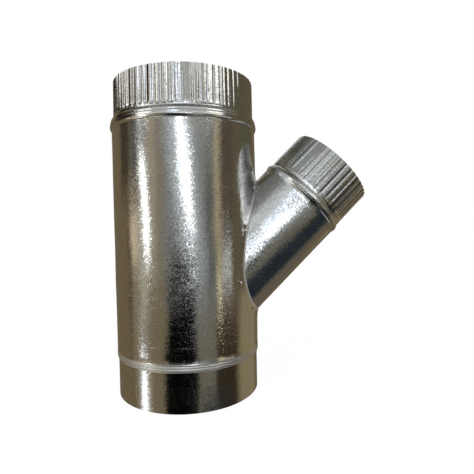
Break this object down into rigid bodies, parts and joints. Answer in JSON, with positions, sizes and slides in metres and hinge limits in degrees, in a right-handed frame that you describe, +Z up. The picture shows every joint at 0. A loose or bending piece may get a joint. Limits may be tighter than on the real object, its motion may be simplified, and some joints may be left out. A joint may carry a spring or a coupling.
{
  "type": "duct wye",
  "caption": "Galvanised sheet-steel duct wye: a straight round main pipe with a socket and a crimped end, and a smaller crimped branch at 45 degrees.",
  "frame": {"origin": "centre of the main pipe's plain socket rim, on the main axis", "axes": "+Z up the main pipe's axis from the socket to the crimped end; the branch leans from it towards +X in the XZ plane; +Y is the back, where the sheets' laps are"},
  "size_m": [0.276, 0.1573, 0.328],
  "materials": {
    "galvanised_main": "bright galvanised sheet with a fine spangle",
    "galvanised_branch": "bright galvanised sheet with a fine spangle"
  },
  "bodies": {
    "root": {"main_pipe": "galvanised_main", "branch_pipe": "galvanised_branch"}
  },
  "joints": []
}
